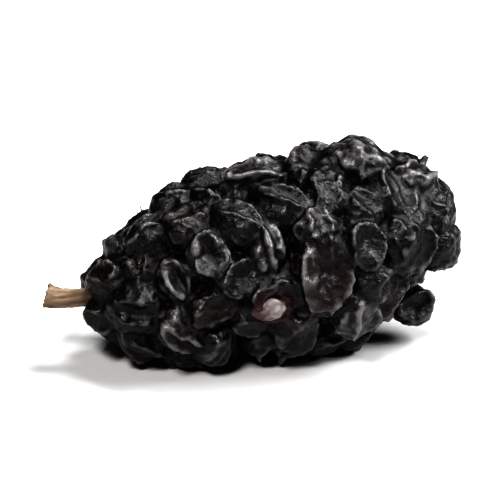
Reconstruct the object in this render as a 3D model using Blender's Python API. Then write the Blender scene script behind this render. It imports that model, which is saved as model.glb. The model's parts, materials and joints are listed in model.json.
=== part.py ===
"""A dried black mulberry, lying on its side, with the stub of its stem.

Metres, +Z up. X runs along the fruit from the stem end to the tip, and Z = 0 is the surface it lies on.
"""

import math
import random
from types import SimpleNamespace

import bmesh
import bpy
from mathutils import Matrix, Vector

MM = 0.001

# The outer form, over the tops of the drupelets: how far along, the height of its middle, its radius.
# It is fullest past the middle, and then a narrower lobe stands up and out at the tip.
FORM_STATIONS = (
    (-11.4 * MM, 4.0 * MM, 0.0),
    (-11.0 * MM, 4.1 * MM, 1.4 * MM),
    (-10.0 * MM, 4.4 * MM, 2.6 * MM),
    (-7.8 * MM, 4.8 * MM, 4.1 * MM),
    (-5.4 * MM, 5.1 * MM, 5.1 * MM),
    (-2.0 * MM, 5.5 * MM, 5.75 * MM),
    (2.0 * MM, 5.75 * MM, 6.0 * MM),
    (5.0 * MM, 6.2 * MM, 5.8 * MM),
    (7.3 * MM, 7.2 * MM, 4.1 * MM),
    (9.6 * MM, 7.4 * MM, 3.3 * MM),
    (11.0 * MM, 6.8 * MM, 1.9 * MM),
    (11.4 * MM, 6.5 * MM, 0.0),
)
SWAY = -2.5  # per metre, towards -Y at both ends

# The drupelets, set out on a spiral and then crowded apart.
SEED = 7
DRUPELET_COUNT = 84
ALONG_ENDS = (0.8, 10.85)  # the first and last drupelets, as places in the list of stations
GOLDEN_ANGLE = math.pi * (3 - math.sqrt(5))
DRUPELET_RADIUS = (1.3 * MM, 1.8 * MM)  # half the breadth, smallest and largest
FULL_RADIUS = max(radius for _, _, radius in FORM_STATIONS)
END_SHRINK = 0.8  # drupelets at the two ends are this much smaller
CROWDING = 1.02  # how far apart two neighbours stay, as a share of their two radii
CROWDING_ROUNDS = 90
SUNK = 1.15 * MM  # a drupelet's middle lies this far under the outer form
PROUD = 0.28 * MM  # and up to this far out or in from there
CORE_DEPTH = 1.6 * MM  # the fleshy middle's skin under the outer form
CORE_LEAST = 0.35  # of the form's radius, where that is too small for the depth
CORE_ENDS = (1.2, 10.4)  # as places in the list of stations
CORE_ROUNDING = 6  # how blunt the fleshy middle's two ends are
WELD = 0.002 * MM  # points nearer than this become one

# A drupelet: a shrivelled bead with a raised rim round a sunken top.
BEAD_SEGMENTS = 8
BEAD_RINGS = 6
RIM_ANGLE = math.radians(42)
RIM_WIDTH = math.radians(24)
RIM_UNEVEN = 0.5
PIT_WIDTH = math.radians(26)
TIP_LEAN = math.radians(14)  # drupelets lean towards the fruit's tip

# Drupelets that stand out on this fruit: X on the fruit, turn about the spine from the top towards -Y in
# degrees, half breadth, length over breadth, turn of the long way from the fruit's own, in degrees, and
# depth of the sunken top.
NOTED_DRUPELETS = (
    (2.1 * MM, 80, 1.95 * MM, 1.20, 80, 0.50),
    (-0.8 * MM, -2, 1.60 * MM, 1.45, 5, 0.25),
    (-1.2 * MM, 58, 1.30 * MM, 1.45, 85, 0.10),
    (-4.7 * MM, 52, 1.40 * MM, 1.10, 70, 0.55),
    (2.9 * MM, 24, 1.45 * MM, 1.25, 80, 0.20),
    (4.7 * MM, 66, 1.45 * MM, 1.15, 80, 0.20),
    (6.2 * MM, -10, 1.95 * MM, 1.25, 5, 0.20),
    (7.9 * MM, 86, 1.90 * MM, 1.10, 60, 0.15),
    (9.0 * MM, 8, 1.50 * MM, 1.15, 30, 0.20),
    (10.8 * MM, 105, 1.60 * MM, 1.10, 0, 0.15),
    (-4.5 * MM, 92, 1.35 * MM, 1.30, 10, 0.30),
    (-7.8 * MM, 12, 1.45 * MM, 1.15, 20, 0.20),
)

# One small drupelet hangs clear of the rest, on a stalk of its own, under the tip.
LONE_PLACE = Vector((8.65 * MM, -1.0 * MM, 2.15 * MM))
LONE_RADIUS = 1.26 * MM
LONE_ROOT = Vector((5.2 * MM, -0.3 * MM, 4.9 * MM))
LONE_SHAPE = SimpleNamespace(rim=0.08, pit=0.35, phase=0.0)
LONE_STALK_RADII = (1.5 * MM, 0.62 * MM)  # at its root and at the drupelet

# The stem's stub, in a socket that clears it all round.
STEM_RADIUS = 0.68 * MM  # at its two ends
STEM_WAIST = 0.22  # this much less in between
STEM_ROOT = Vector((-8.7 * MM, -0.2 * MM, 4.6 * MM))
STEM_BEND = Vector((-11.8 * MM, -0.35 * MM, 4.0 * MM))
STEM_END = Vector((-13.5 * MM, 0.2 * MM, 4.45 * MM))
STEM_POINTS = 8
STEM_GAP = 0.3 * MM

# Linear colour and roughness.
SKIN_LOOK = ((0.018, 0.015, 0.017), 0.45)
STEM_LOOK = ((0.30, 0.19, 0.10), 0.8)

# The origin is under the middle of the whole part, so the fruit's own X is moved by this much.
FRUIT_SHIFT = Vector((1.1 * MM, 0.3 * MM, 0))
SEAT_CUT = 8 * MM  # half the size of the block that cuts the fruit flat where it lies


def clear_scene():
    for thing in list(bpy.data.objects):
        bpy.data.objects.remove(thing)


def new_collection(name):
    collection = bpy.data.collections.new(name)
    bpy.context.scene.collection.children.link(collection)
    return collection


def material(name, colour, roughness):
    made = bpy.data.materials.new(name)
    made.use_nodes = True
    shader = made.node_tree.nodes["Principled BSDF"]
    shader.inputs["Base Color"].default_value = (*colour, 1)
    shader.inputs["Roughness"].default_value = roughness
    shader.inputs["Metallic"].default_value = 0
    return made


def new_object(name, mesh, collection):
    made = bpy.data.objects.new(name, mesh)
    collection.objects.link(made)
    return made


def mesh_of(name, shape):
    mesh = bpy.data.meshes.new(name)
    shape.to_mesh(mesh)
    shape.free()
    return mesh


def station(along):
    """The form's middle and radius at a place between two stations, on a smooth curve through them."""
    last = len(FORM_STATIONS) - 1
    before = max(0, min(last - 1, int(along)))
    t = along - before
    near = [FORM_STATIONS[max(0, min(last, before + k))] for k in (-1, 0, 1, 2)]
    x, height, radius = (
        b + t * ((c - a) + t * ((2 * a - 5 * b + 4 * c - d) + t * (3 * b - 3 * c + d - a))) / 2
        for a, b, c, d in zip(*near)
    )
    return Vector((x, SWAY * x * x, height)), max(radius, 0.0)


def form_point(along, turn):
    """A point of the outer form, turned from the top towards -Y."""
    middle, radius = station(along)
    return middle + Vector((0, -math.sin(turn), math.cos(turn))) * radius


def form_frame(along, turn):
    """The way along the form, the way round it and its outward normal, at one point of it."""
    step = 0.01
    onward = form_point(along + step, turn) - form_point(along - step, turn)
    around = form_point(along, turn + step) - form_point(along, turn - step)
    return onward / (2 * step), around / (2 * step), around.cross(onward).normalized()


def along_at(x):
    """The place in the list of stations where the form's middle reaches this X."""
    low, high = 0.0, len(FORM_STATIONS) - 1.0
    for _ in range(30):
        middle = (low + high) / 2
        low, high = (middle, high) if station(middle)[0].x < x else (low, middle)
    return low


def middle_of(drupelet):
    normal = form_frame(drupelet.along, drupelet.turn)[2]
    return form_point(drupelet.along, drupelet.turn) - normal * drupelet.depth


def even_alongs(count):
    """Places along the form that give each drupelet an equal share of its skin."""
    steps = 400
    first, last = ALONG_ENDS
    places = [first + (last - first) * (k + 0.5) / steps for k in range(steps)]
    frames = [form_frame(place, math.pi / 2) for place in places]
    areas = [onward.length * around.length for onward, around, _ in frames]
    share = sum(areas) / count
    alongs, passed = [], 0.0
    for place, area in zip(places, areas):
        passed += area
        while len(alongs) < count and passed > share * (len(alongs) + 0.5):
            alongs.append(place)
    return alongs


def drawn_drupelet(draw, along, turn):
    fullness = station(along)[1] / FULL_RADIUS
    size = draw.uniform(*DRUPELET_RADIUS) * (END_SHRINK + (1 - END_SHRINK) * fullness)
    return SimpleNamespace(
        along=along,
        turn=turn,
        radius=size,
        stretch=draw.uniform(1.0, 1.35),
        spin=draw.uniform(0, math.pi),
        depth=SUNK + draw.uniform(-PROUD, PROUD),
        pit=draw.uniform(0.05, 0.5),
        rim=draw.uniform(0.03, 0.12),
        lean=draw.uniform(-0.2, 0.2),
        phase=draw.uniform(0, 2 * math.pi),
        fixed=False,
    )


def set_noted(drupelets):
    """Moves the nearest drawn drupelet to each noted place and gives it the noted shape."""
    for x, degrees, radius, stretch, spin, pit in NOTED_DRUPELETS:
        along, turn = along_at(x), math.radians(degrees)
        target = form_point(along, turn)
        loose = [d for d in drupelets if not d.fixed]
        nearest = min(loose, key=lambda d: (form_point(d.along, d.turn) - target).length)
        nearest.along, nearest.turn, nearest.radius = along, turn, radius
        nearest.stretch, nearest.spin, nearest.pit = stretch, math.radians(spin), pit
        nearest.depth, nearest.fixed = SUNK, True


def crowd_apart(drupelets):
    """Pushes neighbours apart over the form until none lies much into another."""
    for _ in range(CROWDING_ROUNDS):
        middles = [middle_of(d) for d in drupelets]
        for here, drupelet in zip(middles, drupelets):
            if drupelet.fixed:
                continue
            push = Vector()
            for there, other in zip(middles, drupelets):
                gap = here - there
                wanted = CROWDING * (drupelet.radius + other.radius)
                if 0 < gap.length < wanted:
                    push += gap.normalized() * (wanted - gap.length) / 2
            onward, around, _ = form_frame(drupelet.along, drupelet.turn)
            drupelet.along += push.dot(onward) / onward.length_squared
            drupelet.turn += push.dot(around) / around.length_squared
            drupelet.along = max(ALONG_ENDS[0], min(ALONG_ENDS[1], drupelet.along))


def lay_out_drupelets():
    draw = random.Random(SEED)
    drupelets = [
        drawn_drupelet(draw, along, k * GOLDEN_ANGLE)
        for k, along in enumerate(even_alongs(DRUPELET_COUNT))
    ]
    set_noted(drupelets)
    crowd_apart(drupelets)
    return drupelets


def bead_point(direction, bead):
    """A unit direction from the bead's middle, +Z outward, moved to the shrivelled skin, for a unit bead."""
    polar = math.acos(max(-1, min(1, direction.z)))
    around = math.atan2(direction.y, direction.x)
    rim = bead.rim * math.exp(-(((polar - RIM_ANGLE) / RIM_WIDTH) ** 2))
    rim *= 1 + RIM_UNEVEN * math.cos(2 * around + bead.phase)
    pit = bead.pit * math.exp(-((polar / PIT_WIDTH) ** 2))
    return direction * (1 + rim - pit)


def bead_mesh(name, bead, matrix):
    shape = bmesh.new()
    bmesh.ops.create_uvsphere(shape, u_segments=BEAD_SEGMENTS, v_segments=BEAD_RINGS, radius=1)
    for vertex in shape.verts:
        vertex.co = bead_point(vertex.co.normalized(), bead)
    bmesh.ops.transform(shape, matrix=matrix, verts=shape.verts)
    return mesh_of(name, shape)


def bead_matrix(drupelet):
    """The place, lean and size of a drupelet on the form."""
    onward, around, normal = form_frame(drupelet.along, drupelet.turn)
    middle = form_point(drupelet.along, drupelet.turn) - normal * drupelet.depth
    axes = Matrix((onward.normalized(), normal.cross(onward).normalized(), normal)).transposed()
    lean = Matrix.Rotation(TIP_LEAN, 3, "Y") @ Matrix.Rotation(drupelet.lean, 3, "X")
    spin = Matrix.Rotation(drupelet.spin, 3, "Z")
    long_way = drupelet.radius * math.sqrt(drupelet.stretch)
    short_way = drupelet.radius / math.sqrt(drupelet.stretch)
    size = Matrix.Diagonal((long_way, short_way, drupelet.radius))
    return Matrix.Translation(middle) @ (axes @ lean @ spin @ size).to_4x4()


def lone_bead_matrix():
    outward = (LONE_PLACE - LONE_ROOT).normalized()
    return (
        Matrix.Translation(LONE_PLACE)
        @ outward.to_track_quat("Z", "Y").to_matrix().to_4x4()
        @ Matrix.Scale(LONE_RADIUS, 4)
    )


def core_mesh():
    """The fleshy middle that every drupelet is rooted in."""
    shape = bmesh.new()
    bmesh.ops.create_uvsphere(shape, u_segments=16, v_segments=14, radius=1)
    for vertex in shape.verts:
        share = math.acos(max(-1, min(1, -vertex.co.z))) / math.pi
        middle, radius = station(CORE_ENDS[0] + (CORE_ENDS[1] - CORE_ENDS[0]) * share)
        end = min(1, CORE_ROUNDING * share, CORE_ROUNDING * (1 - share))
        inner = max(radius - CORE_DEPTH, CORE_LEAST * radius) * end
        turn = math.atan2(-vertex.co.y, vertex.co.x)
        vertex.co = middle + Vector((0, -math.sin(turn), math.cos(turn))) * inner
    bmesh.ops.recalc_face_normals(shape, faces=shape.faces)
    return mesh_of("fruit", shape)


def stalk_mesh():
    """The short stalk of the drupelet that hangs clear."""
    shape = bmesh.new()
    reach = LONE_PLACE - LONE_ROOT
    bmesh.ops.create_cone(
        shape, cap_ends=True, segments=BEAD_SEGMENTS,
        radius1=LONE_STALK_RADII[0], radius2=LONE_STALK_RADII[1], depth=reach.length,
    )
    turned = reach.to_track_quat("Z", "Y").to_matrix().to_4x4()
    place = Matrix.Translation((LONE_PLACE + LONE_ROOT) / 2) @ turned
    bmesh.ops.transform(shape, matrix=place, verts=shape.verts)
    return mesh_of("lone_stalk", shape)


def boolean(target, operation, **operand):
    modifier = target.modifiers.new(operation.lower(), "BOOLEAN")
    modifier.operation = operation
    modifier.solver = "EXACT"
    for name, value in operand.items():
        setattr(modifier, name, value)
    return modifier


def apply_modifiers(target):
    graph = bpy.context.evaluated_depsgraph_get()
    made = bpy.data.meshes.new_from_object(target.evaluated_get(graph))
    target.modifiers.clear()
    target.data = made


def keep_outer_skin(target):
    """Drops the scraps and sealed hollows that a union leaves, and keeps the one large skin."""
    shape = bmesh.new()
    shape.from_mesh(target.data)
    islands, seen = [], set()
    for face in shape.faces:
        if face in seen:
            continue
        island, edge_of_island = [], [face]
        seen.add(face)
        while edge_of_island:
            current = edge_of_island.pop()
            island.append(current)
            for neighbour in (f for e in current.edges for f in e.link_faces if f not in seen):
                seen.add(neighbour)
                edge_of_island.append(neighbour)
        islands.append(island)
    islands.sort(key=len)
    scraps = [face for island in islands[:-1] for face in island]
    bmesh.ops.delete(shape, geom=scraps, context="FACES")
    bmesh.ops.remove_doubles(shape, verts=shape.verts, dist=WELD)
    shape.to_mesh(target.data)
    shape.free()


def stem_curve(collection):
    curve = bpy.data.curves.new("stem", "CURVE")
    curve.dimensions = "3D"
    curve.bevel_depth = STEM_RADIUS
    curve.bevel_resolution = 2
    curve.use_fill_caps = True
    spline = curve.splines.new("POLY")
    spline.points.add(STEM_POINTS - 1)
    for k, point in enumerate(spline.points):
        share = k / (STEM_POINTS - 1)
        bend = STEM_ROOT.lerp(STEM_BEND, share).lerp(STEM_BEND.lerp(STEM_END, share), share)
        point.co = (*bend, 1)
        point.radius = 1 - STEM_WAIST * math.sin(math.pi * share)
    return new_object("stem", curve, collection)


def socket_cutter(collection):
    """A plain bore round the stem's root, deeper than the root by the gap."""
    shape = bmesh.new()
    outward = (STEM_BEND - STEM_ROOT).normalized()
    bottom = STEM_ROOT - outward * STEM_GAP
    length = (STEM_END - STEM_ROOT).length
    bmesh.ops.create_cone(
        shape, cap_ends=True, segments=12, radius1=STEM_RADIUS + STEM_GAP,
        radius2=STEM_RADIUS + STEM_GAP, depth=length,
    )
    turned = outward.to_track_quat("Z", "Y").to_matrix().to_4x4()
    place = Matrix.Translation(bottom + outward * length / 2) @ turned
    bmesh.ops.transform(shape, matrix=place, verts=shape.verts)
    return new_object("socket_cutter", mesh_of("socket_cutter", shape), collection)


def seat_cutter(collection):
    """A block under Z = 0, which leaves flats where the fruit lies."""
    shape = bmesh.new()
    bmesh.ops.create_cube(shape, size=1)
    bmesh.ops.scale(shape, vec=(4 * SEAT_CUT, 2 * SEAT_CUT, 2 * SEAT_CUT), verts=shape.verts)
    bmesh.ops.translate(shape, vec=(0, 0, -SEAT_CUT), verts=shape.verts)
    return new_object("seat_cutter", mesh_of("seat_cutter", shape), collection)


def build_fruit(parts, cutters):
    beads = new_collection("drupelets")
    for k, drupelet in enumerate(lay_out_drupelets()):
        name = f"drupelet_{k:02d}"
        new_object(name, bead_mesh(name, drupelet, bead_matrix(drupelet)), beads)
    lone = bead_mesh("lone_drupelet", LONE_SHAPE, lone_bead_matrix())
    new_object("lone_drupelet", lone, beads)
    new_object("lone_stalk", stalk_mesh(), beads)

    fruit = new_object("fruit", core_mesh(), parts)
    boolean(fruit, "UNION", operand_type="COLLECTION", collection=beads)
    apply_modifiers(fruit)
    for bead in list(beads.objects):
        bpy.data.objects.remove(bead)
    bpy.data.collections.remove(beads)
    keep_outer_skin(fruit)

    for cutter in (seat_cutter(cutters), socket_cutter(cutters)):
        cutter.hide_render = True
        cutter.display_type = "WIRE"
        boolean(fruit, "DIFFERENCE", object=cutter)
        apply_modifiers(fruit)
    keep_outer_skin(fruit)
    fruit.data.shade_smooth()
    fruit.data.set_sharp_from_angle(angle=math.radians(50))
    return fruit


def main():
    clear_scene()
    parts = new_collection("mulberry")
    cutters = new_collection("cutters")
    whole = new_object("mulberry_origin", None, parts)
    fruit = build_fruit(parts, cutters)
    fruit.data.materials.append(material("black_skin", *SKIN_LOOK))
    stem = stem_curve(parts)
    stem.data.materials.append(material("dry_stem", *STEM_LOOK))
    for piece in (fruit, stem):
        piece.parent = whole
    whole.location = FRUIT_SHIFT


main()
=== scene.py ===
import json
import math
import random
from types import SimpleNamespace

import bmesh
import bpy
from mathutils import Matrix, Vector, kdtree, noise
from mathutils.bvhtree import BVHTree

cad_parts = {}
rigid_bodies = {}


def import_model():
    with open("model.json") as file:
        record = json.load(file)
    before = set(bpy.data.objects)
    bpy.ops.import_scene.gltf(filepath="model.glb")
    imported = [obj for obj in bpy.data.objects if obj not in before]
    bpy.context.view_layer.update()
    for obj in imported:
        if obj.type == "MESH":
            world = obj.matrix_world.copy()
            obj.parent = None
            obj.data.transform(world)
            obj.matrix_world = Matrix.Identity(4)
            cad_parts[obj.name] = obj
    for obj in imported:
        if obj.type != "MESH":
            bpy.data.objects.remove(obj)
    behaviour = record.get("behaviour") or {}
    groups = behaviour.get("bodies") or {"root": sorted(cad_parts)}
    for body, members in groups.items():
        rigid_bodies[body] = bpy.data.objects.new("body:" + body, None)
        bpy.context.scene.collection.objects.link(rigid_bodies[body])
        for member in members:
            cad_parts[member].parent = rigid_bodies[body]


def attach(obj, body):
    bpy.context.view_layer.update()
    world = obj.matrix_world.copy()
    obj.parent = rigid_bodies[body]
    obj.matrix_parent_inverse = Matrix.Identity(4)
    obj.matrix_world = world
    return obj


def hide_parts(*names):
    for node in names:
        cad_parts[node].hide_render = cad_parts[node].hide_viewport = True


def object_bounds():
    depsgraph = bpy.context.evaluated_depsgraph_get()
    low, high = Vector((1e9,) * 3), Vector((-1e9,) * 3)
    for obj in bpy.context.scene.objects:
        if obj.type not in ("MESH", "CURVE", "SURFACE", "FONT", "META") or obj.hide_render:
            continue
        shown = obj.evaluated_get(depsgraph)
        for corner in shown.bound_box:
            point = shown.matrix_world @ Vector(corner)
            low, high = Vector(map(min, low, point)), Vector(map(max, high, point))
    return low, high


for startup in list(bpy.data.objects):  # the cube, light and camera of a new file
    bpy.data.objects.remove(startup)
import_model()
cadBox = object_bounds()
mm = 0.001

# The fruit's form, and the rule that sets its drupelets out on it.
form = {
    "stations": (  # how far along, the height of the middle, the radius over the drupelets
        (-11.4 * mm, 4.0 * mm, 0.0),
        (-11.0 * mm, 4.1 * mm, 1.4 * mm),
        (-10.0 * mm, 4.4 * mm, 2.6 * mm),
        (-7.8 * mm, 4.8 * mm, 4.1 * mm),
        (-5.4 * mm, 5.1 * mm, 5.1 * mm),
        (-2.0 * mm, 5.5 * mm, 5.75 * mm),
        (2.0 * mm, 5.75 * mm, 6.0 * mm),
        (5.0 * mm, 6.2 * mm, 5.8 * mm),
        (7.3 * mm, 7.2 * mm, 4.1 * mm),
        (9.6 * mm, 7.4 * mm, 3.3 * mm),
        (11.0 * mm, 6.8 * mm, 1.9 * mm),
        (11.4 * mm, 6.5 * mm, 0.0),
    ),
    "sway": -2.5,  # per metre, towards -Y at both ends
    "seed": 7,
    "drupelets": 84,
    "ends": (0.8, 10.85),  # places in the list of stations
    "radius": (1.3 * mm, 1.8 * mm),
    "endShrink": 0.8,
    "stretch": (1.0, 1.35),  # length over breadth
    "pit": (0.05, 0.5),  # the sunken top and the raised rim, as shares of the radius
    "rim": (0.03, 0.12),
    "lean": 0.2,
    "crowding": 1.02,
    "rounds": 90,
    "sunk": 1.15 * mm,
    "proud": 0.28 * mm,
    "tipLean": math.radians(14),
    "shift": Vector((1.1, 0.3, 0)) * mm,  # puts the origin under the middle of the whole
}
goldenAngle = math.pi * (3 - math.sqrt(5))
fullRadius = max(radius for _, _, radius in form["stations"])

# How the drupelets that stand out have dried: some have sunk in and kept a raised rim, some are
# pinched into a ridge and some have stayed full.
sunkenIn = {
    "slitLong": 0.66, "slitNarrow": 0.52, "rim": 0.13, "rimWidth": 0.30, "keel": 0.12, "fold": 0.10,
    "pleat": 0.08, "seam": 0.04,
}
smallRing = {
    "slitLong": 0.60, "slitNarrow": 0.46, "rim": 0.12, "rimWidth": 0.30, "keel": 0.05, "fold": 0.07,
}
pinched = {"slitLong": 0.9, "slitNarrow": 0.5, "pit": 0.16, "rim": 0.0, "keel": 0.34, "fold": 0.07}
full = {"rim": 0.0, "keel": 0.05, "fold": 0.10, "pleat": 0.09, "seam": 0.04}

# X, turn from the top towards -Y, half breadth, length over breadth, turn of the long way, depth
# of the sunken top, and how it has dried.
notedDrupelets = (
    (2.1 * mm, 80, 1.95 * mm, 1.20, 80, 0.50, {**sunkenIn, "pit": 0.60, "spread": 1.15, "wearAndSheen": 0.8}),
    (-0.8 * mm, -2, 1.60 * mm, 1.45, 5, 0.25,
     {**sunkenIn, "pit": 0.36, "keel": 0.0, "rim": 0.18, "wearAndSheen": 1}),
    (-1.2 * mm, 58, 1.30 * mm, 1.45, 85, 0.10, {**pinched, "wearAndSheen": 1}),
    (-4.7 * mm, 52, 1.40 * mm, 1.10, 70, 0.55, smallRing),
    (2.9 * mm, 24, 1.45 * mm, 1.25, 80, 0.20, full),
    (4.7 * mm, 66, 1.45 * mm, 1.15, 80, 0.20, {**smallRing, "pit": 0.30}),
    (6.2 * mm, -10, 1.95 * mm, 1.25, 5, 0.20,
     {**full, "keel": 0.16, "fold": 0.06, "pleat": 0.05, "wearAndSheen": 1}),
    (7.9 * mm, 86, 1.90 * mm, 1.10, 60, 0.15, full),
    (9.0 * mm, 8, 1.50 * mm, 1.15, 30, 0.20, {"wearAndSheen": 1}),
    (10.8 * mm, 105, 1.60 * mm, 1.10, 0, 0.15, full),
    (-4.5 * mm, 92, 1.35 * mm, 1.30, 10, 0.30, smallRing),
    (-7.8 * mm, 12, 1.45 * mm, 1.15, 20, 0.20, {}),
)

infill = (  # small drupelets in gaps that the rule leaves: X, turn, half breadth and how dried
    (8.8 * mm, 42, 1.15 * mm, {"wearAndSheen": 1}),
)

lone = {  # the drupelet that hangs clear, on its own stalk
    "place": Vector((8.65, -1.0, 2.15)) * mm,
    "radius": 1.26 * mm,
    "root": Vector((5.2, -0.3, 4.9)) * mm,
    "stalkRadii": (1.5 * mm, 0.62 * mm),
    "facing": Vector((0.10, -0.85, 0.30)),
    "dried": {**smallRing, "pit": 0.50, "rim": 0.16, "spread": 1.02},
}


def stationAt(along):  # on a smooth curve through the stations
    stations = form["stations"]
    last = len(stations) - 1
    before = max(0, min(last - 1, int(along)))
    t = along - before
    near = [stations[max(0, min(last, before + k))] for k in (-1, 0, 1, 2)]
    x, height, radius = (
        b + t * ((c - a) + t * ((2 * a - 5 * b + 4 * c - d) + t * (3 * b - 3 * c + d - a))) / 2
        for a, b, c, d in zip(*near)
    )
    return Vector((x, form["sway"] * x * x, height)), max(radius, 0.0)


def outward(turn):  # straight out from the fruit's middle line
    return Vector((0, -math.sin(turn), math.cos(turn)))


def formPoint(along, turn):
    middle, radius = stationAt(along)
    return middle + outward(turn) * radius


def formFrame(along, turn):  # the way along, the way round and the outward normal
    step = 0.01
    onward = formPoint(along + step, turn) - formPoint(along - step, turn)
    around = formPoint(along, turn + step) - formPoint(along, turn - step)
    return onward / (2 * step), around / (2 * step), around.cross(onward).normalized()


def alongAt(x):
    low, high = 0.0, len(form["stations"]) - 1.0
    for _ in range(30):  # each round halves the stretch that it lies in
        middle = (low + high) / 2
        low, high = (middle, high) if stationAt(middle)[0].x < x else (low, middle)
    return low


def middleOf(drupelet):
    normal = formFrame(drupelet.along, drupelet.turn)[2]
    return formPoint(drupelet.along, drupelet.turn) - normal * drupelet.depth


def evenAlongs(count):  # an equal share of the form's skin for each drupelet
    steps = 400
    first, last = form["ends"]
    places = [first + (last - first) * (k + 0.5) / steps for k in range(steps)]
    frames = [formFrame(place, math.pi / 2) for place in places]
    areas = [onward.length * around.length for onward, around, _ in frames]
    share = sum(areas) / count
    alongs, passed = [], 0.0
    for place, area in zip(places, areas):
        passed += area
        while len(alongs) < count and passed > share * (len(alongs) + 0.5):
            alongs.append(place)
    return alongs


def drawDrupelet(draw, along, turn):
    fullness = stationAt(along)[1] / fullRadius
    size = draw.uniform(*form["radius"]) * (form["endShrink"] + (1 - form["endShrink"]) * fullness)
    return SimpleNamespace(
        along=along, turn=turn, radius=size,
        stretch=draw.uniform(*form["stretch"]), spin=draw.uniform(0, math.pi),
        depth=form["sunk"] + draw.uniform(-form["proud"], form["proud"]),
        pit=draw.uniform(*form["pit"]), rim=draw.uniform(*form["rim"]),
        lean=draw.uniform(-form["lean"], form["lean"]), phase=draw.uniform(0, 2 * math.pi),
        noted=False, dried={},
    )


def setNoted(drupelets):  # the nearest drupelet moves to each noted place
    for x, degrees, radius, stretch, spin, pit, dried in notedDrupelets:
        along, turn = alongAt(x), math.radians(degrees)
        target = formPoint(along, turn)
        free = [d for d in drupelets if not d.noted]
        nearest = min(free, key=lambda d: (formPoint(d.along, d.turn) - target).length)
        nearest.along, nearest.turn, nearest.radius = along, turn, radius
        nearest.stretch, nearest.spin, nearest.pit = stretch, math.radians(spin), pit
        nearest.depth, nearest.noted, nearest.dried = form["sunk"], True, dried


def crowdApart(drupelets):  # those that overlap push each other away, but never a noted one
    first, last = form["ends"]
    for _ in range(form["rounds"]):
        middles = [middleOf(d) for d in drupelets]
        for here, drupelet in zip(middles, drupelets):
            if drupelet.noted:
                continue
            push = Vector()
            for there, other in zip(middles, drupelets):
                gap = here - there
                wanted = form["crowding"] * (drupelet.radius + other.radius)
                if 0 < gap.length < wanted:
                    push += gap.normalized() * (wanted - gap.length) / 2
            onward, around, _ = formFrame(drupelet.along, drupelet.turn)
            drupelet.along += push.dot(onward) / onward.length_squared
            drupelet.turn += push.dot(around) / around.length_squared
            drupelet.along = max(first, min(last, drupelet.along))


def layOutDrupelets():
    draw = random.Random(form["seed"])
    alongs = evenAlongs(form["drupelets"])
    drupelets = [drawDrupelet(draw, along, k * goldenAngle) for k, along in enumerate(alongs)]
    setNoted(drupelets)
    crowdApart(drupelets)
    for x, degrees, radius, dried in infill:
        drupelets.append(drawDrupelet(draw, alongAt(x), math.radians(degrees)))
        drupelets[-1].radius, drupelets[-1].dried = radius, dried
    return drupelets


def beadMatrix(drupelet):
    onward, _, normal = formFrame(drupelet.along, drupelet.turn)
    middle = formPoint(drupelet.along, drupelet.turn) - normal * drupelet.depth + form["shift"]
    axes = Matrix((onward.normalized(), normal.cross(onward).normalized(), normal)).transposed()
    lean = Matrix.Rotation(form["tipLean"], 3, "Y") @ Matrix.Rotation(drupelet.lean, 3, "X")
    spin = Matrix.Rotation(drupelet.spin, 3, "Z")
    root = math.sqrt(drupelet.stretch)
    size = Matrix.Diagonal((drupelet.radius * root, drupelet.radius / root, drupelet.radius))
    return Matrix.Translation(middle) @ (axes @ lean @ spin @ size).to_4x4()


# How a drupelet has shrivelled. Heights, depths and widths are shares of its own radius, angles
# down from its top are in radians, and a scale is how close together a pattern's waves lie.
shrivel = {
    "seed": 23,
    "foldSeed": 5,
    "beadSteps": 5,
    "spread": (1.08, 1.17),  # wider than in the plain form, so that neighbours press together
    "patternReach": 50,  # each drupelet has its own part of every pattern
    "fewWornAndSheened": 2.2,  # how few have smooth high places, grey from wear and from a painted highlight
    "warp": 0.18,
    "warpScale": 1.5,
    "slitTurn": 0.35,  # the top sinks in as a slit, turned a little to either side
    "slitLong": (0.50, 0.72),
    "slitNarrow": (0.24, 0.46),
    "slitEdge": 2.4,
    "rimReach": 1.45,  # of the slit's size
    "rimWidth": (0.28, 0.46),
    "rimHeight": 0.07,
    "rimUneven": 0.45,
    "keel": (0.0, 0.20),
    "keelWidth": 0.34,
    "keelLength": 1.2,
    "seamDepth": (0.0, 0.12),
    "seamWidth": 0.26,
    "seamFull": 0.5,
    "seamEnd": 2.4,
    "lump": 0.12,
    "lumpScale": 1.1,
    "pleat": (0.03, 0.11),  # down the sides
    "pleatScale": 1.9,
    "pleatSlope": 0.45,
    "pleatLevel": 0.45,
    "pleatFull": 0.7,
    "fold": (0.02, 0.10),  # all over
    "foldScale": 2.1,
    "smallFold": 0.055,
    "smallFoldScale": 4.6,
    "ridgeNarrow": 2.2,
    "sharp": 1.5,
    "blunt": 1.3,
    "level": 0.4,  # how high in a pattern of ridges the plain skin lies
}


def clamped(value):  # kept between 0 and 1
    return max(0, min(1, value))


def bell(across, onward=0.0):  # 1 in the middle, falling to 0 all round
    return math.exp(-(across ** 2) - onward ** 2)


def polarAngle(direction):  # from the top, in radians
    return math.acos(max(-1, min(1, direction.z)))


def poleShare(co):  # 0 at a unit sphere's lowest point, 1 at its highest
    return polarAngle(-co) / math.pi


def onRing(turn):
    return Vector((math.cos(turn), math.sin(turn), 0))


def ridged(point, sharpness):  # 1 along the ridges of a noise, 0 in its hollows
    return max(0.0, 1 - shrivel["ridgeNarrow"] * abs(noise.noise(point))) ** sharpness


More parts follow.
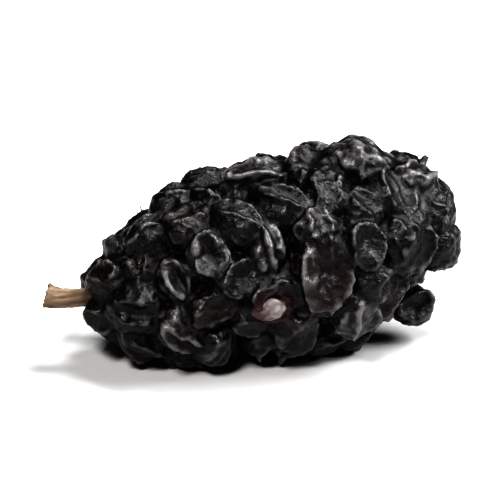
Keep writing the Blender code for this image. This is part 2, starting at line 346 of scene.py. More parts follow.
def shrivelled(drupelet, matrix, number):  # the drupelet's own creases and folds
    draw = random.Random(shrivel["seed"] * 1000 + number)
    slitTurn, reach = shrivel["slitTurn"], shrivel["patternReach"]
    bead = SimpleNamespace(
        pit=drupelet.pit, rim=drupelet.rim, phase=drupelet.phase,
        slitTurn=draw.uniform(-slitTurn, slitTurn),
        slitLong=draw.uniform(*shrivel["slitLong"]),
        slitNarrow=draw.uniform(*shrivel["slitNarrow"]),
        rimWidth=draw.uniform(*shrivel["rimWidth"]),
        keel=draw.uniform(*shrivel["keel"]),
        seam=draw.uniform(*shrivel["seamDepth"]),
        seamTurn=draw.uniform(0, math.pi / 2),
        fold=draw.uniform(*shrivel["fold"]),
        pleat=draw.uniform(*shrivel["pleat"]),
        spread=draw.uniform(*shrivel["spread"]),
        place=Vector([draw.uniform(-reach, reach) for _ in range(3)]),
        tone=draw.random(),
        # how worn and smooth the drupelet is; the material also paints its high places paler grey, as
        # a highlight
        wearAndSheen=draw.random() ** shrivel["fewWornAndSheened"],
    )
    for name, value in drupelet.dried.items():
        setattr(bead, name, value)
    bead.matrix = matrix @ Matrix.Diagonal((bead.spread, bead.spread, 1, 1))
    bead.inverse = bead.matrix.inverted()
    return bead


def skinHeight(direction, bead):  # how far out the skin lies, for a bead of radius 1
    place = bead.place
    warp = noise.noise_vector(direction * shrivel["warpScale"] + place)
    warped = (direction + shrivel["warp"] * warp).normalized()
    polar, around = polarAngle(warped), math.atan2(warped.y, warped.x)

    u = polar * math.cos(around - bead.slitTurn) / bead.slitLong
    v = polar * math.sin(around - bead.slitTurn) / bead.slitNarrow
    reach = math.hypot(u, v)
    sunken = bead.pit * math.exp(-(reach ** shrivel["slitEdge"]))
    keel = bead.keel * bell(v / shrivel["keelWidth"], u / shrivel["keelLength"])
    rim = (bead.rim + shrivel["rimHeight"]) * bell((reach - shrivel["rimReach"]) / bead.rimWidth)
    rim *= 1 + shrivel["rimUneven"] * math.cos(2 * around + bead.phase)

    seam = bell(math.sin(2 * (around - bead.seamTurn)) / shrivel["seamWidth"])
    seam *= bead.seam * min(1, polar / shrivel["seamFull"]) * max(0, 1 - polar / shrivel["seamEnd"])
    lump = shrivel["lump"] * noise.noise(direction * shrivel["lumpScale"] - place)
    side = min(1, polar / shrivel["pleatFull"])
    down = Vector((math.cos(around), math.sin(around), shrivel["pleatSlope"] * polar))
    pleats = ridged(down * shrivel["pleatScale"] + place, shrivel["sharp"]) - shrivel["pleatLevel"]
    folds = ridged(warped * shrivel["foldScale"] - place, shrivel["sharp"]) - shrivel["level"]
    small = ridged(warped * shrivel["smallFoldScale"] + place, shrivel["blunt"]) - shrivel["level"]
    pleat, fold, small = bead.pleat * pleats * side, bead.fold * folds, shrivel["smallFold"] * small
    return 1 + lump + fold + pleat + small - seam + rim + keel - sunken


def beadShape(bead):
    shape = bmesh.new()
    bmesh.ops.create_icosphere(shape, subdivisions=shrivel["beadSteps"], radius=1)
    for vertex in shape.verts:
        direction = vertex.co.normalized()
        vertex.co = direction * skinHeight(direction, bead)
    bmesh.ops.transform(shape, matrix=bead.matrix, verts=shape.verts)
    return shape


core = {  # the fleshy middle, under the drupelets
    "around": 64,
    "along": 56,
    "depth": 1.6 * mm,
    "least": 0.35,  # of the form's radius
    "ends": (1.2, 10.4),  # places in the list of stations
    "rounding": 6,
}


def ballShape(around, along):  # a unit sphere, its faces put in the same order in each run
    shape = bmesh.new()
    bmesh.ops.create_uvsphere(shape, u_segments=around, v_segments=along, radius=1)
    shape.verts.index_update()
    ranked = sorted(shape.faces, key=lambda face: sorted(vertex.index for vertex in face.verts))
    rank = {face: number for number, face in enumerate(ranked)}
    shape.faces.sort(key=rank.get)
    return shape


def coreShape():
    shape = ballShape(core["around"], core["along"])
    first, last = core["ends"]
    for vertex in shape.verts:
        part = poleShare(vertex.co)
        middle, radius = stationAt(first + (last - first) * part)
        end = min(1, core["rounding"] * part, core["rounding"] * (1 - part))
        inner = max(radius - core["depth"], core["least"] * radius) * end
        turn = math.atan2(-vertex.co.y, vertex.co.x)
        vertex.co = middle + outward(turn) * inner + form["shift"]
    bmesh.ops.recalc_face_normals(shape, faces=shape.faces)
    return shape


def taperShape(bottom, top, radii):  # a closed taper between two points
    shape = bmesh.new()
    reach = top - bottom
    bmesh.ops.create_cone(
        shape, cap_ends=True, segments=24, radius1=radii[0], radius2=radii[1], depth=reach.length)
    turned = reach.to_track_quat("Z", "Y").to_matrix().to_4x4()
    place = Matrix.Translation((bottom + top) / 2 + form["shift"]) @ turned
    bmesh.ops.transform(shape, matrix=place, verts=shape.verts)
    return shape


tepalTip = {  # the dry point that sticks up on the lobe
    "x": 9.5 * mm,
    "turn": math.radians(-22),
    "root": -0.9 * mm,
    "height": 0.55 * mm,
    "radii": (0.55 * mm, 0.16 * mm),
    "lean": Vector((0.25, 0, 0)) * mm,
}


def tepalTipShape():
    along = alongAt(tepalTip["x"])
    place, normal = formPoint(along, tepalTip["turn"]), formFrame(along, tepalTip["turn"])[2]
    bottom = place + normal * tepalTip["root"]
    top = place + normal * tepalTip["height"] + tepalTip["lean"]
    return taperShape(bottom, top, tepalTip["radii"])


def newPiece(name, shape):
    mesh = bpy.data.meshes.new(name)
    shape.to_mesh(mesh)
    shape.free()
    mesh.shade_smooth()
    piece = bpy.data.objects.new(name, mesh)
    bpy.context.scene.collection.objects.link(piece)
    return piece


def newLayers(shape, *names):  # numbers kept with the vertices, for the materials
    return [shape.verts.layers.float.new(name) for name in names]


def triangleCount(piece):
    return sum(len(face.vertices) - 2 for face in piece.data.polygons)


def joined(shapes):
    whole = bmesh.new()
    for shape in shapes:
        scrap = bpy.data.meshes.new("scrap")
        shape.to_mesh(scrap)
        shape.free()
        whole.from_mesh(scrap)
        bpy.data.meshes.remove(scrap)
    return whole


skin = {  # the one skin over all of it
    "voxel": 0.134 * mm,
    "largen": 1000,  # the remesh works on a copy this much larger
    "smoothing": 0.22,
    "beadsTried": 6,
    "clear": 4 * mm,  # farther out than the skin lies
    "wrinkle": 0.075 * mm,
    "wrinkleScale": 1.5 / mm,
    "pleatScale": 3.4,
    "pleatSlope": 0.5,
    "wornLess": 0.5,  # how much shallower a worn drupelet's wrinkles are
    "creaseReach": 0.20,  # of a drupelet's radius
    "gapReach": 0.34,
    "sideStart": 0.7,  # radians down from a drupelet's top
    "sideBlend": 0.5,
    "sideSlope": 0.4,
    "smallRounds": 2,
    "broadRounds": 12,
    "blend": 0.6,  # how much of its neighbours' relief a vertex takes in each round
    "beyond": 0.30 * mm,  # the most that it stands out past the plain form's box
}


def outerSkin(shape):  # only the one large skin
    islands, seen = [], set()
    for face in shape.faces:
        if face in seen:
            continue
        island, waiting = [], [face]
        seen.add(face)
        while waiting:
            current = waiting.pop()
            island.append(current)
            for edge in current.edges:
                for neighbour in edge.link_faces:
                    if neighbour not in seen:
                        seen.add(neighbour)
                        waiting.append(neighbour)
        islands.append(island)
    islands.sort(key=len)
    scraps = [face for island in islands[:-1] for face in island]
    bmesh.ops.delete(shape, geom=scraps, context="FACES")


def oneSkin(shapes):
    rough = joined(shapes)
    bmesh.ops.scale(rough, vec=(skin["largen"],) * 3, verts=rough.verts)
    solid = newPiece("roughFruit", rough)
    remesh = solid.modifiers.new("oneSkin", "REMESH")
    remesh.mode = "VOXEL"
    remesh.voxel_size = skin["voxel"] * skin["largen"]
    graph = bpy.context.evaluated_depsgraph_get()
    shape = bmesh.new()
    shape.from_mesh(solid.evaluated_get(graph).data)
    bpy.data.meshes.remove(solid.data)  # and the object with it
    bmesh.ops.scale(shape, vec=(1 / skin["largen"],) * 3, verts=shape.verts)
    outerSkin(shape)
    bmesh.ops.smooth_vert(shape, verts=shape.verts, factor=skin["smoothing"], use_axis_x=True,
                          use_axis_y=True, use_axis_z=True)
    return shape


def nearBeads(point, tree, beads):  # the two beads whose surfaces are nearest, nearest first
    near = []
    for _, number, _ in tree.find_n(point, skin["beadsTried"]):
        local = beads[number].inverse @ point
        near.append((local.length, number, local))
    near.sort(key=lambda item: item[0])
    return near[0], near[1]


def wrinkle(shape, beads):  # and note at each vertex what the material has to know
    tree = kdtree.KDTree(len(beads))
    for number, bead in enumerate(beads):
        tree.insert(bead.matrix.translation, number)
    tree.balance()
    tone, wearAndSheen, gap, side = newLayers(shape, "tone", "wearAndSheen", "gap", "side")
    pleated = shape.verts.layers.float_vector.new("pleated")
    shape.normal_update()
    moves = []
    for vertex in shape.verts:
        (reach, number, local), (nextReach, _, _) = nearBeads(vertex.co, tree, beads)
        bead, direction = beads[number], local.normalized()
        apart = max(0.0, nextReach - reach)
        clear = min(1.0, apart / skin["creaseReach"])
        around, polar = math.atan2(direction.y, direction.x), polarAngle(direction)
        vertex[tone], vertex[wearAndSheen] = bead.tone, bead.wearAndSheen
        # how near the seam between drupelets is; the material paints shade there
        vertex[gap] = max(0.0, 1 - apart / skin["gapReach"])
        vertex[side] = clamped((polar - skin["sideStart"]) / skin["sideBlend"]) * clear
        onSide = Vector((math.cos(around), math.sin(around), skin["sideSlope"] * polar))
        vertex[pleated] = onSide + bead.place
        down = Vector((direction.x, direction.y, skin["pleatSlope"] * direction.z))
        small = ridged(vertex.co * skin["wrinkleScale"] + bead.place, shrivel["blunt"])
        pleats = ridged(down * skin["pleatScale"] + bead.place, shrivel["sharp"])
        wave = (small + pleats) / 2 - shrivel["level"]
        deep = skin["wrinkle"] * (1 - skin["wornLess"] * bead.wearAndSheen)
        moves.append((vertex, vertex.normal * deep * wave * clear))
    for vertex, move in moves:
        vertex.co += move


paleSeed = {  # a bare seed, in a torn skin
    "x": -0.85 * mm,
    "turn": math.radians(93.5),
    "steps": 5,
    "halfSizes": (0.94 * mm, 0.70 * mm, 0.50 * mm),
    "spin": math.radians(97),
    "proud": -0.06 * mm,
    "aside": -0.34 * mm,  # towards the stem, in its cup
    "keel": 0.05,
    "keelWidth": 0.20,
    "dent": 0.07,
    "dentScale": 1.9,
    "groove": 0.02,
    "grooveScale": 4.0,
    "point": 0.16,
    "soaked": 0.45,  # with juice, more towards one end
    "soakedRise": 0.8,
    "soakedUneven": 0.5,
    "soakedScale": 2.5,
}
cup = {  # the tear that it lies in: places and widths are shares of the reach
    "reach": 1.05 * mm,
    "depth": 0.42 * mm,
    "fall": 1.5,
    "lip": 0.14 * mm,
    "lipPlace": 1.05,
    "lipWidth": 0.20,
    "lipLeast": 0.75,
    "lipUneven": 0.9,
    "lipScale": 1.4 / mm,
    "stainReach": 1.7,
}


def onSkin(tree, along, turn):  # where the skin is, and the way out there
    normal = formFrame(along, turn)[2]
    start = formPoint(along, turn) + form["shift"] + normal * skin["clear"]
    place, _, _, _ = tree.ray_cast(start, -normal)
    return place, normal


def tearOpen(shape):
    middle, facing = onSkin(BVHTree.FromBMesh(shape), alongAt(paleSeed["x"]), paleSeed["turn"])
    stain, = newLayers(shape, "stain")
    for vertex in shape.verts:
        away = (vertex.co - middle).length / cup["reach"]
        if away > cup["stainReach"]:
            continue
        uneven = cup["lipLeast"] + cup["lipUneven"] * noise.noise(vertex.co * cup["lipScale"])
        lip = cup["lip"] * uneven * bell((away - cup["lipPlace"]) / cup["lipWidth"])
        hollow = cup["depth"] * max(0, 1 - away * away) ** cup["fall"]
        vertex.co += facing * (lip - hollow)
        vertex[stain] = 1 - away / cup["stainReach"]
    return middle, facing


def keepWithin(shape):  # eases in what stands out past the plain form's box
    low, high = cadBox
    for vertex in shape.verts:
        for axis in range(3):
            over = max(vertex.co[axis] - high[axis], low[axis] - vertex.co[axis])
            if over > 0:
                eased = skin["beyond"] * (1 - math.exp(-over / skin["beyond"]))
                vertex.co[axis] += math.copysign(over - eased, -vertex.co[axis])
        vertex.co.z = max(vertex.co.z, 0.0)  # it rests on the floor


def markRelief(shape):  # above 0 on ridges, below 0 in hollows, for the material
    small, broad = newLayers(shape, "relief", "broadRelief")
    near = [[edge.other_vert(vertex).index for edge in vertex.link_edges] for vertex in shape.verts]
    shape.verts.ensure_lookup_table()
    values = []
    for vertex, others in zip(shape.verts, near):
        middle = sum((shape.verts[k].co for k in others), Vector()) / len(others)
        values.append((vertex.co - middle).dot(vertex.normal) / skin["voxel"])
    blend = skin["blend"]
    for count in range(1, skin["broadRounds"] + 1):
        values = [
            (1 - blend) * value + blend * sum(values[k] for k in others) / len(others)
            for value, others in zip(values, near)
        ]
        if count == skin["smallRounds"]:
            for vertex, value in zip(shape.verts, values):
                vertex[small] = value
    for vertex, value in zip(shape.verts, values):
        vertex[broad] = value


def setOutBeads():
    beads = []
    for number, drupelet in enumerate(layOutDrupelets()):
        beads.append(shrivelled(drupelet, beadMatrix(drupelet), number))
    hung = SimpleNamespace(pit=0.0, rim=0.0, phase=0.0, dried=lone["dried"])
    turned = lone["facing"].to_track_quat("Z", "Y").to_matrix().to_4x4()
    hangs = Matrix.Translation(lone["place"] + form["shift"]) @ turned
    beads.append(shrivelled(hung, hangs @ Matrix.Scale(lone["radius"], 4), len(beads)))
    print("drupelets set out:", len(beads))
    return beads


def makeFruit():
    noise.seed_set(shrivel["foldSeed"])  # or the folds would differ from run to run
    beads = setOutBeads()
    shapes = [beadShape(bead) for bead in beads]
    stalk = taperShape(lone["root"], lone["place"], lone["stalkRadii"])
    shape = oneSkin(shapes + [coreShape(), stalk, tepalTipShape()])
    wrinkle(shape, beads)
    seedPlace = tearOpen(shape)
    keepWithin(shape)
    shape.normal_update()
    shape.verts.index_update()
    markRelief(shape)
    tree = BVHTree.FromBMesh(shape)
    piece = newPiece("driedFruit", shape)
    print("fruit skin done:", triangleCount(piece), "triangles")
    return piece, beads, tree, seedPlace


def makeSeed(place, facing):
    shape = bmesh.new()
    bmesh.ops.create_icosphere(shape, subdivisions=paleSeed["steps"], radius=1)
    soaked, = newLayers(shape, "soaked")
    for vertex in shape.verts:
        co = vertex.co.copy()
        uneven = paleSeed["soakedUneven"] * noise.noise(co * paleSeed["soakedScale"])
        vertex[soaked] = clamped(paleSeed["soaked"] + paleSeed["soakedRise"] * co.x + uneven)
        keel = paleSeed["keel"] * bell(co.y / paleSeed["keelWidth"])
        dents = paleSeed["dent"] * noise.noise(co * paleSeed["dentScale"])
        dents += paleSeed["groove"] * ridged(co * paleSeed["grooveScale"], 1)
        vertex.co = co * (1 + keel + dents)
        vertex.co.x *= 1 + paleSeed["point"] * max(0, co.x) ** 4
    turned = facing.to_track_quat("Z", "X").to_matrix().to_4x4()
    middle = place + facing * (paleSeed["proud"] - cup["depth"] / 2)
    middle.x += paleSeed["aside"]
    size = Matrix.Diagonal((*paleSeed["halfSizes"], 1))
    matrix = Matrix.Translation(middle) @ turned @ Matrix.Rotation(paleSeed["spin"], 4, "Z") @ size
    bmesh.ops.transform(shape, matrix=matrix, verts=shape.verts)
    piece = newPiece("bareSeed", shape)
    print("seed done:", triangleCount(piece), "triangles")
    return piece


driedStyles = {  # the thin dry threads left on some drupelets, two on each
    "seed": 5,
    "first": 3,
    "every": 7,
    "apart": 0.22 * mm,
    "clear": 5 * mm,
    "lowest": 1.5 * mm,
    "length": (0.45 * mm, 0.95 * mm),
    "radius": 0.034 * mm,
    "root": 0.12 * mm,
    "lean": 0.9,
    "leanShare": (0.5, 1.2),
    "stray": 0.5,
    "sides": 5,
    "rings": 9,
    "thickness": (1.2, 0.7),  # at its root and its tip
    "rounding": (5, 3),
}


def threadShape(place, facing, length, lean):
    shape = ballShape(driedStyles["sides"], driedStyles["rings"])
    turned = facing.to_track_quat("Z", "Y").to_matrix()
    atRoot, atTip = driedStyles["thickness"]
    rootRound, tipRound = driedStyles["rounding"]
    for vertex in shape.verts:
        part = poleShare(vertex.co)
        ends = min(1, rootRound * part, tipRound * (1 - part))
        thick = driedStyles["radius"] * ends * (atRoot + (atTip - atRoot) * part)
        turn = math.atan2(vertex.co.y, vertex.co.x)
        bend = facing * (length * part - driedStyles["root"]) + lean * length * part * part
        vertex.co = place + bend + turned @ onRing(turn) * thick
    return shape


def makeStyles(beads, tree):
    draw = random.Random(driedStyles["seed"])
    stray = driedStyles["stray"]
    shapes = []
    for bead in beads[driedStyles["first"]:-1:driedStyles["every"]]:
        facing = (bead.matrix.to_3x3() @ Vector((0, 0, 1))).normalized()
        across = (bead.matrix.to_3x3() @ Vector((0, 1, 0))).normalized()
        for side in (-1, 1):
            aside = across * side
            start = bead.matrix.translation + aside * driedStyles["apart"]
            place, _, _, _ = tree.ray_cast(start + facing * driedStyles["clear"], -facing)
            length = draw.uniform(*driedStyles["length"])
            lean = aside * driedStyles["lean"] * draw.uniform(*driedStyles["leanShare"])
            lean += Vector([draw.uniform(-stray, stray) for _ in range(3)])
            if place is not None and place.z > driedStyles["lowest"]:
                shapes.append(threadShape(place, facing, length, lean))
    print("threads done:", len(shapes))
    return newPiece("driedStyles", joined(shapes))


stem = {  # the dry stub of stalk
    "radius": 0.68 * mm,
    "waist": 0.22,
    "root": Vector((-8.7, -0.2, 4.6)) * mm,
    "bend": Vector((-11.8, -0.35, 4.0)) * mm,
    "end": Vector((-13.5, 0.2, 4.45)) * mm,
    "around": 64,
    "along": 130,
    "rootCap": 0.05,  # share of the rings in each end
    "cutCap": 0.12,
    "ribs": 7,
    "ribHeight": 0.055,
    "twist": 1.3,
    "wander": 0.8,
    "wanderScale": 3,
    "crease": 0.07,
    "creaseScales": (2.2, 16),  # round the stem and along it
    "grain": 0.042,
    "grainScales": (3.1, 5),
    "grainSharp": 1.2,
    "lipFlare": 0.10,
    "lipStart": 0.88,
    "fray": 0.20 * mm,
    "frayReach": 1.02,  # of the cut end's share
    "frayScale": 5.5,
    "pith": 0.16 * mm,
    "pithWidth": 0.32,
}


def stemPoint(part):
    lower = stem["root"].lerp(stem["bend"], part)
    return lower.lerp(stem["bend"].lerp(stem["end"], part), part)


def stemVertex(co):  # where a point of a unit sphere goes on the stem
    rings, turn = poleShare(co), math.atan2(co.y, co.x)
    ring = onRing(turn)
    part = clamped((rings - stem["rootCap"]) / (1 - stem["rootCap"] - stem["cutCap"]))
    inward = min(1, rings / stem["rootCap"], (1 - rings) / stem["cutCap"])
    radius = stem["radius"] * (1 - stem["waist"] * math.sin(math.pi * part))

    wander = stem["wander"] * noise.noise(Vector((0, 0, part * stem["wanderScale"])))
    rib = stem["ribHeight"] * math.cos(stem["ribs"] * (turn + stem["twist"] * part + wander))
    around, along = stem["creaseScales"]
    rib += stem["crease"] * noise.noise(ring * around + Vector((0, 0, part * along)))
    around, along = stem["grainScales"]
    rib += stem["grain"] * ridged(ring * around + Vector((5, 0, part * along)), stem["grainSharp"])
    flare = stem["lipFlare"] * max(0, (part - stem["lipStart"]) / (1 - stem["lipStart"])) ** 2
    out = radius * inward * (1 + (rib + flare) * inward)

    step = 0.01
    onward = (stemPoint(min(1, part + step)) - stemPoint(max(0, part - step))).normalized()
    turned = onward.to_track_quat("Z", "Y").to_matrix()
    elsewhere = Vector((9, 9, 9))  # another part of the noise
    torn = stem["fray"] * noise.noise(ring * inward * stem["frayScale"] + elsewhere)
    torn -= stem["pith"] * bell(inward / stem["pithWidth"])
    end = torn if rings > 1 - stem["cutCap"] * stem["frayReach"] else 0
    return stemPoint(part) + turned @ ring * out + onward * end + form["shift"], part, inward


def makeStem():
    shape = ballShape(stem["around"], stem["along"])
    onStem, inside = newLayers(shape, "onStem", "inside")
    for vertex in shape.verts:
        vertex.co, vertex[onStem], inward = stemVertex(vertex.co.copy())
        vertex[inside] = 1 - inward
    bmesh.ops.recalc_face_normals(shape, faces=shape.faces)
    piece = newPiece("stemStub", shape)
    print("stem done:", triangleCount(piece), "triangles")
    return piece


class Wire:  # one shader socket, with arithmetic on it
    def __init__(self, finish, socket):
        self.finish, self.socket = finish, socket

    def maths(self, operation, *terms):
        return self.finish.node("ShaderNodeMath", {"operation": operation}, dict(enumerate(terms)))

    def __add__(self, other):
        return self.maths("ADD", self, other)

    def __sub__(self, other):
        return self.maths("SUBTRACT", self, other)

    def __rsub__(self, other):
        return self.maths("SUBTRACT", other, self)

    def __mul__(self, other):
        return self.maths("MULTIPLY", self, other)

    def __abs__(self):
        return self.maths("ABSOLUTE", self)

    __radd__ = __add__
    __rmul__ = __mul__


class Finish:  # a material, its shader and what feeds it
    def __init__(self, name):
        self.material = bpy.data.materials.new(name)
        self.material.use_nodes = True
        self.tree = self.material.node_tree
        self.shader = self.tree.nodes["Principled BSDF"]
        self.place = self.node("ShaderNodeTexCoord", output="Object")

    def node(self, kind, settings=None, sockets=None, output=0):
        made = self.tree.nodes.new(kind)
        for name, value in (settings or {}).items():
            setattr(made, name, value)
        for name, value in (sockets or {}).items():
            self.feed(made.inputs[name], value)
        return Wire(self, made.outputs[output])

    def feed(self, socket, value):
        if isinstance(value, Wire):
            self.tree.links.new(value.socket, socket)
        else:
            socket.default_value = value

    def shade(self, **values):
        for name, value in values.items():
            self.feed(self.shader.inputs[name.replace("_", " ")], value)

    def spots(self, scale, detail=3.0, roughness=0.55, place=None):
        sockets = {"Vector": place or self.place, "Scale": scale, "Detail": detail}
        return self.node("ShaderNodeTexNoise", {}, {**sockets, "Roughness": roughness})

    def creases(self, scale, place=None, width=0.14):  # 1 along thin lines, 0 between them
        return 1 - self.stepped(abs(self.spots(scale, 2.0, 0.5, place) - 0.5), (0.0, width))

    def stretched(self, factors):
        sockets = {0: self.place, 1: factors}
        return self.node("ShaderNodeVectorMath", {"operation": "MULTIPLY"}, sockets)

    def distance(self, axis):  # from the origin, in metres
        return self.node("ShaderNodeSeparateXYZ", {}, {0: self.place}, output=axis)

    def stored(self, name, output="Fac"):  # what the mesh keeps with its vertices
        return self.node("ShaderNodeAttribute", {"attribute_name": name}, output=output)

    def stepped(self, value, band):  # 0 before the band, 1 past it, smooth between
        sockets = {"Value": value, "From Min": band[0], "From Max": band[1]}
        return self.node("ShaderNodeMapRange", {"interpolation_type": "SMOOTHSTEP"}, sockets)

    def blended(self, first, second, factor):  # a Mix node's two colours are its sockets 6 and 7
        sockets = {0: factor, 6: self.colour(first), 7: self.colour(second)}
        return self.node("ShaderNodeMix", {"data_type": "RGBA"}, sockets, output=2)

    def colour(self, value):
        return value if isinstance(value, Wire) else (*value, 1)

    def bumped(self, height, depth):
        sockets = {"Height": height, "Distance": depth, "Strength": 1.0}
        return self.node("ShaderNodeBump", {}, sockets, output="Normal")


# Colours are linear, scales are per metre, and a band is where a blend starts and is full.
skinFinish = {
    "black": (0.0034, 0.0027, 0.0029),
    "maroon": (0.0120, 0.0048, 0.0048),
    # deep is a painted shade, for the hollows and the seams between drupelets
    "deep": (0.0010, 0.0008, 0.0009),
    # these three greys are partly worn dust and partly a painted highlight on the high places
    "dustAndSheenWarm": (0.079, 0.076, 0.069),
    "dustAndSheenCool": (0.078, 0.070, 0.073),
    "polishedSheen": (0.120, 0.115, 0.114),
    "juice": (0.022, 0.006, 0.007),
    "flesh": (0.105, 0.076, 0.074),
    "broadScale": 330,
    "mottleScale": 1500,
    "poreScale": 4200,
    "grainScale": 13000,
    "creaseScale": 2600,
    "pleatScale": 5.5,  # on the mesh's own places for pleats
    "maroonBroad": 0.6,
    "maroonTone": 0.5,
    "maroonFall": 32,  # per metre up, so that there is more of it lower down
    "maroonBand": (0.36, 0.74),
    "maroonMost": 0.8,
    "coolRise": 16,  # per metre along
    "coolBand": (0.40, 0.66),
    "polishedSheenBand": (0.4, 1.0),
    "dustAndSheenBroad": 0.8,
    "dustAndSheenMottle": 0.30,
    "dustAndSheenWear": 0.10,
    "dustAndSheenBand": (0.23, 0.44),
    "gapMottle": 0.3,
    "gapBand": (0.45, 1.05),
    "gapDustAndSheenLess": 0.8,
    "paintedGapShade": 0.06,
    "paintedShadeBand": (0.0, 0.06),
    "juiceBand": (0.05, 0.5),
    "fleshMottle": 0.5,
    "fleshBand": (0.78, 1.05),
    "glossMottle": 0.15,
    "glossBand": (0.0, 0.16),
    "gloss": 0.31,
    "dull": 0.50,
    "wornGloss": 0.35,
    "deepGloss": 0.2,
    "specular": 0.30,
    "bumpGrain": 0.3,
    "bumpCreases": 0.5,
    "bumpPleats": 0.9,
    "bumpWornLess": 0.5,
    "bump": 0.026 * mm,
}


def makeSkinFinish():
    finish, facts = Finish("driedSkin"), skinFinish
    tone, stain, wearAndSheen, gap = (finish.stored(name) for name in ("tone", "stain", "wearAndSheen", "gap"))
    relief, broadRelief = finish.stored("relief"), finish.stored("broadRelief")
    broad = finish.spots(facts["broadScale"], 2.0)
    mottle = finish.spots(facts["mottleScale"])
    pores = finish.spots(facts["poreScale"], 4.0, 0.6)
    grain = finish.spots(facts["grainScale"], 2.0)
    creases = finish.creases(facts["creaseScale"])
    pleats = finish.creases(facts["pleatScale"], finish.stored("pleated", "Vector"))
    pleats = pleats * finish.stored("side")

    red = broad * facts["maroonBroad"] + tone * facts["maroonTone"]
    red = finish.stepped(red - finish.distance("Z") * facts["maroonFall"], facts["maroonBand"])
    colour = finish.blended(facts["black"], facts["maroon"], red * facts["maroonMost"])

    # Grey on the high places, partly worn dust and partly a painted highlight; less of it between
    # drupelets.
    cool = finish.stepped(broad + finish.distance("X") * facts["coolRise"], facts["coolBand"])
    dustAndSheen = finish.blended(facts["dustAndSheenWarm"], facts["dustAndSheenCool"], cool)
    dustAndSheen = finish.blended(dustAndSheen, facts["polishedSheen"], finish.stepped(wearAndSheen, facts["polishedSheenBand"]))
    high = relief + broadRelief * facts["dustAndSheenBroad"]
    high = high + mottle * facts["dustAndSheenMottle"] + wearAndSheen * facts["dustAndSheenWear"]
    between = finish.stepped(gap + mottle * facts["gapMottle"], facts["gapBand"])
    worn = finish.stepped(high, facts["dustAndSheenBand"]) * (1 - between * facts["gapDustAndSheenLess"])
    # the grey goes where worn marks it: worn dust together with a painted highlight
    colour = finish.blended(colour, dustAndSheen, worn)
    # Painted shade: the hollows and the seams between drupelets are darkened towards deep.
    paintedShade = finish.stepped(between * facts["paintedGapShade"] - broadRelief, facts["paintedShadeBand"])
    colour = finish.blended(colour, facts["deep"], paintedShade)

    # Juice and torn flesh, round the bare seed.
    colour = finish.blended(colour, facts["juice"], finish.stepped(stain, facts["juiceBand"]))
    bared = finish.stepped(stain + mottle * facts["fleshMottle"], facts["fleshBand"])
    colour = finish.blended(colour, facts["flesh"], bared)

    shine = finish.stepped(relief + mottle * facts["glossMottle"], facts["glossBand"])
    shine = shine * (1 + wearAndSheen * facts["wornGloss"]) - paintedShade * facts["deepGloss"]
    roughness = facts["dull"] + shine * (facts["gloss"] - facts["dull"])
    wrinkles = pores + grain * facts["bumpGrain"]
    wrinkles = wrinkles - creases * facts["bumpCreases"] - pleats * facts["bumpPleats"]
    bump = finish.bumped(wrinkles * (1 - wearAndSheen * facts["bumpWornLess"]), facts["bump"])
    finish.shade(Base_Color=colour, Roughness=roughness, Normal=bump)
    finish.shade(Specular_IOR_Level=facts["specular"])
    return finish.material


seedFinish = {
    "dark": (0.122, 0.103, 0.098),
    "light": (0.226, 0.203, 0.196),
    "soaked": (0.045, 0.020, 0.020),
    "mottleScale": 2200,
    "grainScale": 9000,
    "lightBand": (0.4, 0.62),
    "soakedMottle": 0.3,
    "soakedBand": (0.55, 0.95),
    "roughness": 0.42,
    "roughMottle": 0.2,
    "bump": 0.03 * mm,
}


def makeSeedFinish():
    finish, facts = Finish("bareSeedShell"), seedFinish
    mottle, grain = finish.spots(facts["mottleScale"]), finish.spots(facts["grainScale"])
    light = finish.stepped(mottle, facts["lightBand"])
    colour = finish.blended(facts["dark"], facts["light"], light)
    soaked = finish.stored("soaked") + mottle * facts["soakedMottle"]
    soaked = finish.stepped(soaked, facts["soakedBand"])
    colour = finish.blended(colour, facts["soaked"], soaked)
    roughness = facts["roughness"] + mottle * facts["roughMottle"]
    bump = finish.bumped(grain, facts["bump"])
    finish.shade(Base_Color=colour, Roughness=roughness, Normal=bump)
    return finish.material


threadFinish = {
    "dark": (0.018, 0.012, 0.009),
    "light": (0.060, 0.043, 0.030),
    "mottleScale": 1800,
    "lightBand": (0.35, 0.65),
    "roughness": 0.55,
    "roughMottle": 0.2,
}


def makeThreadFinish():
    finish, facts = Finish("driedThread"), threadFinish
    mottle = finish.spots(facts["mottleScale"], 2.0)
    light = finish.stepped(mottle, facts["lightBand"])
    colour = finish.blended(facts["dark"], facts["light"], light)
    roughness = facts["roughness"] + mottle * facts["roughMottle"]
    finish.shade(Base_Color=colour, Roughness=roughness)
    return finish.material


stemFinish = {
    "tan": (0.145, 0.102, 0.066),
    "pale": (0.25, 0.195, 0.140),
    "brown": (0.045, 0.029, 0.019),
    "stained": (0.020, 0.010, 0.010),
    "pith": (0.25, 0.20, 0.14),
    "stretch": (350, 3400, 3400),  # fibres run lengthwise
    "streakScale": 0.35,
    "mottleScale": 1500,
    "paleBand": (0.45, 0.65),
    "brownBand": (0.50, 0.68),
    "brownMost": 0.8,
    "pithBand": (0.1, 0.5),
    "stainMottle": 0.35,
    "stainBand": (0.86, 0.50),  # falls from the fruit outwards
    "stainMost": 0.9,
    "roughness": 0.62,
    "roughFibres": 0.25,
    "specular": 0.35,
    "bumpMottle": 0.4,
    "bump": 0.05 * mm,
}


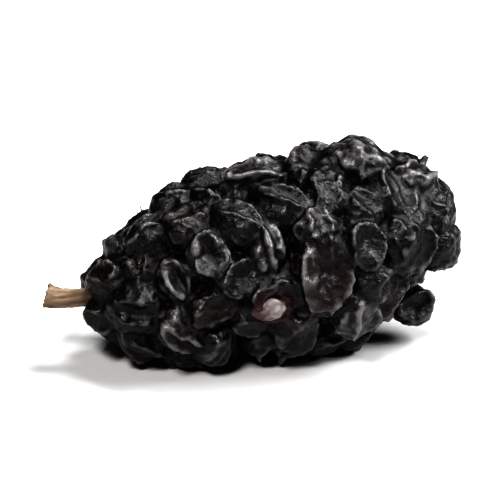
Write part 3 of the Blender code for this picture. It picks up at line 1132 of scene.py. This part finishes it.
def makeStemFinish():
    finish, facts = Finish("dryStalk"), stemFinish
    lengthwise = finish.stretched(facts["stretch"])
    fibres = finish.spots(1.0, 4.0, 0.6, lengthwise)
    streaks = finish.spots(facts["streakScale"], 2.0, 0.5, lengthwise)
    mottle = finish.spots(facts["mottleScale"])
    colour = finish.blended(facts["tan"], facts["pale"], finish.stepped(fibres, facts["paleBand"]))
    brown = finish.stepped(streaks, facts["brownBand"]) * facts["brownMost"]
    colour = finish.blended(colour, facts["brown"], brown)
    pith = finish.stepped(finish.stored("inside"), facts["pithBand"])
    colour = finish.blended(colour, facts["pith"], pith)
    near = finish.stored("onStem") + mottle * facts["stainMottle"]
    near = finish.stepped(near, facts["stainBand"])
    colour = finish.blended(colour, facts["stained"], near * facts["stainMost"])
    roughness = facts["roughness"] + fibres * facts["roughFibres"]
    bump = finish.bumped(fibres + mottle * facts["bumpMottle"], facts["bump"])
    finish.shade(Base_Color=colour, Roughness=roughness, Normal=bump)
    finish.shade(Specular_IOR_Level=facts["specular"])
    return finish.material


def settle(piece, finish, node):
    piece.data.materials.clear()
    piece.data.materials.append(finish)
    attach(piece, "root")
    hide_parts(node)


ground = {
    "reach": 3.0,
    "colour": (0.56, 0.56, 0.56),
    "roughness": 0.9,
}


def makeFloor():
    shape = bmesh.new()
    bmesh.ops.create_grid(shape, x_segments=1, y_segments=1, size=ground["reach"])
    floor = newPiece("floor", shape)
    finish = Finish("paleFloor")
    finish.shade(Base_Color=(*ground["colour"], 1), Roughness=ground["roughness"])
    floor.data.materials.append(finish.material)


# Watts, the size across, where it stands and how it is tinted, for each soft light.
studio = {
    "keyLight": (0.52, 0.05, Vector((-0.09, -0.14, 0.20)), (1.0, 0.99, 0.97)),
    "topLight": (0.56, 0.08, Vector((0.06, 0.04, 0.26)), (1.0, 1.0, 1.0)),
    "rimLight": (0.88, 0.14, Vector((0.19, -0.04, 0.18)), (0.99, 0.99, 1.0)),
}
skyStrength = 0.03


def makeLights(target):
    for name, (power, size, place, tint) in studio.items():
        light = bpy.data.lights.new(name, "AREA")
        light.energy, light.size, light.color = power, size, tint
        holder = bpy.data.objects.new(name, light)
        holder.location = place
        holder.rotation_euler = (target - place).to_track_quat("-Z", "Y").to_euler()
        bpy.context.scene.collection.objects.link(holder)
    world = bpy.data.worlds.new("studioSky")
    world.use_nodes = True
    sky = world.node_tree.nodes["Background"]
    sky.inputs["Color"].default_value = (1, 1, 1, 1)
    sky.inputs["Strength"].default_value = skyStrength
    bpy.context.scene.world = world


view = {
    "azimuth": math.radians(-12),
    "elevation": math.radians(25),
    "lens": 600,
    "fill": 0.84,  # of the picture's width
    "nearest": 0.01,
}


def makeCamera(target, width):
    camera = bpy.data.cameras.new("camera")
    camera.lens = view["lens"]
    camera.clip_start = view["nearest"]
    azimuth, elevation = view["azimuth"], view["elevation"]
    back = Vector((math.sin(azimuth), -math.cos(azimuth), 0)) * math.cos(elevation)
    back.z = math.sin(elevation)
    distance = width / view["fill"] * view["lens"] / camera.sensor_width
    holder = bpy.data.objects.new("camera", camera)
    holder.location = target + back * distance
    holder.rotation_euler = (-back).to_track_quat("-Z", "Y").to_euler()
    bpy.context.scene.collection.objects.link(holder)
    bpy.context.scene.camera = holder


fruit, beads, skinTree, seedPlace = makeFruit()
settle(fruit, makeSkinFinish(), "fruit")
settle(makeSeed(*seedPlace), makeSeedFinish(), "fruit")
settle(makeStyles(beads, skinTree), makeThreadFinish(), "fruit")
settle(makeStem(), makeStemFinish(), "stem")

lowCorner, highCorner = cadBox
centre = (lowCorner + highCorner) / 2
makeFloor()
makeLights(centre)
makeCamera(centre, highCorner.x - lowCorner.x)
bpy.context.scene.view_settings.view_transform = "Standard"
bpy.context.scene.view_settings.look = "Very High Contrast"
print("floor, lights and camera set")
